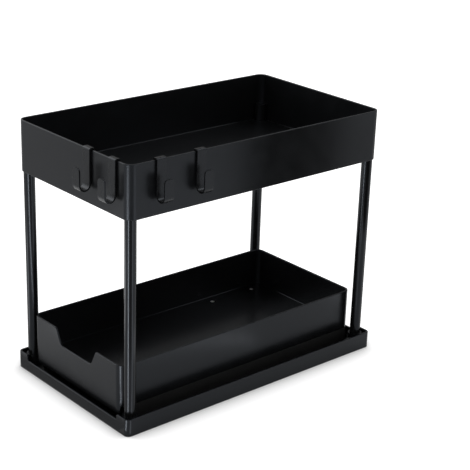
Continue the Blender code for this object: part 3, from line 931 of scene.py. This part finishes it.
# %% [markdown]
# ## Floor and background
# The object stands on a plain white sweep. A floor that is only lit would have to be
# overexposed to look white, and would wash the object out. So the floor keeps its plain
# pale colour for the light that falls on the object, and adds a glow of its own only where
# the camera or a reflection looks at it. The lit part of its colour still carries the
# object's shadow. The world does the same with its strength, so both ask one helper whether
# a ray looks.

# %% Rays that look
def mirrored(nodes, ray):
    """One for the rays that look by way of gloss or through glass."""
    return nodes.work("MAXIMUM", ray.outputs["Is Glossy Ray"], ray.outputs["Is Transmission Ray"])


def looked_at(nodes, ray):
    """One for the rays that look: from the camera, from gloss and through glass."""
    return nodes.work("MAXIMUM", ray.outputs["Is Camera Ray"], mirrored(nodes, ray))


# %% [markdown]
# Two things keep the glow from hiding what a real white table shows. Close to the object the
# table sees less of the studio, which leaves a short dark contact shadow under the tray's
# edge. The Ambient Occlusion node measures just that, so it dims the glow there. And a white
# table that is mirrored in a black wall looks greyer than the table itself, so reflections
# get only a share of the glow.

# %% Floor
FLOOR_SIZE = 4.0
FLOOR_GLOW = 0.62
MIRRORED_GLOW = 0.25
CONTACT_GLOW = 0.06
CONTACT_REACH = 0.035
HALF_HIDDEN, WIDE_OPEN = 0.5, 1.0
bm = bmesh.new()
bmesh.ops.create_grid(bm, x_segments=1, y_segments=1, size=FLOOR_SIZE)
floor_mesh = bpy.data.meshes.new("studio_floor")
bm.to_mesh(floor_mesh)
bm.free()
floor = bpy.data.objects.new("studio_floor", floor_mesh)
scene.collection.objects.link(floor)
sweep = Finish("pale_floor")
ray = sweep.node("ShaderNodeLightPath")
around = sweep.node("ShaderNodeAmbientOcclusion", samples=16, Distance=CONTACT_REACH)
open_glow = sweep.spread(around.outputs["AO"], CONTACT_GLOW, FLOOR_GLOW, HALF_HIDDEN, WIDE_OPEN)
share = sweep.spread(mirrored(sweep, ray), 1.0, MIRRORED_GLOW / FLOOR_GLOW, low=0.0, high=1.0)
glow = sweep.work("MULTIPLY", sweep.work("MULTIPLY", open_glow, share), looked_at(sweep, ray))
sweep.wire(
    Base_Color=(0.80, 0.80, 0.80, 1), Roughness=1.0, Specular_IOR_Level=0.0,
    Emission_Color=(1, 1, 1, 1), Emission_Strength=glow,
)
floor_mesh.materials.append(sweep.material)
floor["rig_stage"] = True
print("floor glow", FLOOR_GLOW, "and", MIRRORED_GLOW, "in reflections")

# %% [markdown]
# ## Light
# The room is a plain white world. It lights the object softly at a little less than full
# strength, and like the floor it looks fully white to the camera, in gloss and through
# glass, so that the black mouldings mirror a white studio.

# %% World
WORLD_LIGHT = 0.8
world = bpy.data.worlds.new("studio")
scene.world = world
world.use_nodes = True
studio = Nodes(world.node_tree)
ray = studio.node("ShaderNodeLightPath")
background = studio.tree.nodes["Background"]
strength = studio.spread(looked_at(studio, ray), WORLD_LIGHT, 1.0, low=0.0, high=1.0)
studio.feed(background.inputs["Color"], (1, 1, 1, 1))
studio.feed(background.inputs["Strength"], strength)
print("world light", WORLD_LIGHT)

# %% [markdown]
# Two wide soft lights do the rest, one from the left and one from behind. A Sun lamp shines
# evenly over the whole floor, and a wide angle makes it a large soft box a long way off: its
# shadows are soft and pale. Both stand away from the camera, so the sides that the camera
# sees are drawn by reflections and not flattened by direct light.

# %% Soft boxes
SPREAD = math.radians(18)
BOX_LIGHT = 0.5


def soft_box(name, azimuth, elevation):
    """A wide far light from an angle round the object and a height above the floor."""
    lamp = bpy.data.lights.new(name, "SUN")
    lamp.energy = BOX_LIGHT
    lamp.angle = SPREAD
    stand = bpy.data.objects.new(name, lamp)
    scene.collection.objects.link(stand)
    turn, rise = math.radians(azimuth), math.radians(elevation)
    flat = Vector((math.cos(turn), math.sin(turn), 0))
    toward = flat * math.cos(rise) + Vector((0, 0, math.sin(rise)))
    stand.rotation_euler = toward.to_track_quat("Z", "Y").to_euler()
    print(name, BOX_LIGHT, "from", azimuth, elevation, "degrees")


soft_box("left_box", -157, 38)
soft_box("back_box", 78, 50)

# %% [markdown]
# ## Cards
# Black walls and posts show hardly any light of their own. What shapes them is what they
# mirror, and a studio photographer sets cards round them for that. Here a card is a plane
# that only a reflection can see, so it neither lights the floor nor shows in any view. It
# could be an area lamp instead, but a lamp would also cast light and shadows. Its material
# only glows, and a brightness of nought makes a black flag.

# %% A card
def card(name, spots, brightness):
    """A flat plane that shows in reflections alone."""
    bm = bmesh.new()
    bmesh.ops.contextual_create(bm, geom=[bm.verts.new(spot) for spot in spots])
    mesh = bpy.data.meshes.new(name)
    bm.to_mesh(mesh)
    bm.free()
    paint = Finish(name)
    paint.wire(
        Base_Color=(0, 0, 0, 1), Roughness=1.0, Specular_IOR_Level=0.0,
        Emission_Color=(1, 1, 1, 1), Emission_Strength=brightness,
    )
    mesh.materials.append(paint.material)
    plane = bpy.data.objects.new(name, mesh)
    scene.collection.objects.link(plane)
    for sees in ("camera", "diffuse", "transmission", "shadow", "volume_scatter"):
        setattr(plane, "visible_" + sees, False)
    plane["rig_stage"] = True
    print(name, len(mesh.polygons), "face, brightness", brightness)


# %% [markdown]
# Upright walls and posts, seen from above, mirror the table in front of them. So most cards
# lie on the table: bright strips for the lines on corners and posts, and greyer cards for
# the walls between them. A card that fans out from the organizer's corner looks equally wide
# from every height of that corner, which keeps the line on it straight and even.

# %% Cards on the table
FLAG_LEVEL, STRIP_LEVEL = 0.001, 0.002
BEYOND_X, BEYOND_Y = 0.006, 0.012
FRONT_CORNER = (POST_X + BEYOND_X, -POST_Y - BEYOND_Y)
LEFT_CORNER = (-POST_X, -POST_Y)
BACK_CORNER = (POST_X, POST_Y)


def fan(name, start, turns, reach, level, brightness):
    """A card on the table that fans out from a corner, between two angles from +X."""
    first, last = (
        Vector((math.cos(math.radians(turn)), math.sin(math.radians(turn)), 0)) for turn in turns
    )
    near, far = reach
    corner = Vector((*start, level))
    inner = [corner + first * near, corner + last * near]
    outer = [corner + first * far, corner + last * far]
    card(name, [inner[0], *outer, inner[1]], brightness)


fan("corner_flag", FRONT_CORNER, (-62, -5), (0.20, 1.2), FLAG_LEVEL, 0.33)
fan("front_strip", FRONT_CORNER, (-80, -64), (0.012, 1.0), STRIP_LEVEL, 12.5)
fan("side_strip", FRONT_CORNER, (0, 18), (0.012, 1.0), STRIP_LEVEL, 3.0)
fan("left_strip", LEFT_CORNER, (-124, -106), (0.12, 0.48), STRIP_LEVEL, 4.8)
fan("left_card", (-0.2, -POST_Y), (-170, -120), (0.30, 1.4), FLAG_LEVEL, 0.69)
fan("back_strip", BACK_CORNER, (40, 54), (0.12, 0.40), STRIP_LEVEL, 2.0)
fan("middle_strip", BACK_CORNER, (-60, -46), (0.12, 0.40), STRIP_LEVEL, 2.0)

# %% [markdown]
# The other cards stand upright. A black and a grey flag beside the right wall give it the
# dark stretch in its middle, and a pale one lifts the end of it. A low strip before the tray
# brightens its front wall. A bright card to the left draws the thin line of light along the
# rims, and a large grey one behind keeps what faces backwards from mirroring the white room.

# %% Upright cards
FLAG_X, GREY_X, PALE_X = 0.22, 0.221, 0.302
TRAY_STRIP_LEVEL = 0.0015


def upright(name, first, last, heights, brightness):
    """A card that stands over the line between two places on the table."""
    low, high = heights
    card(name, [(*first, low), (*last, low), (*last, high), (*first, high)], brightness)


upright("side_flag", (FLAG_X, 0.068), (FLAG_X, 0.16), (0.12, 0.45), 0.0)
upright("grey_flag", (GREY_X, 0.16), (GREY_X, 0.235), (0.12, 0.33), 0.03)
upright("pale_flag", (PALE_X, 0.34), (PALE_X, 0.42), (0.08, 0.24), 0.45)
tray_strip = [(-0.17, -0.215), (0.095, -0.215), (0.095, -0.197), (-0.17, -0.197)]
card("tray_flag", [(x, y, TRAY_STRIP_LEVEL) for x, y in tray_strip], 0.4)
upright("rim_card", (-0.96, -1.15), (-1.5, -0.13), (0.45, 2.2), 2.5)
upright("back_card", (0.4, 1.0), (-2.2, 1.0), (0.02, 2.2), 0.3)

# %% [markdown]
# ## Measure and finish
# The dressed model must have the frame's size, because the organizer has to fit the same shelf in
# every view. Both boxes are measured, and how far the dressed box reaches beyond the frame's box
# is printed.

# %% Finish
scene.view_settings.view_transform = "Standard"
visual_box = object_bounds()
growth = [
    round((abs(dressed) - abs(framed)) * MM, 2)
    for cad_corner, visual_corner in zip(cad_box, visual_box)
    for framed, dressed in zip(cad_corner, visual_corner)
]
print("growth beyond the frame in mm:", growth)
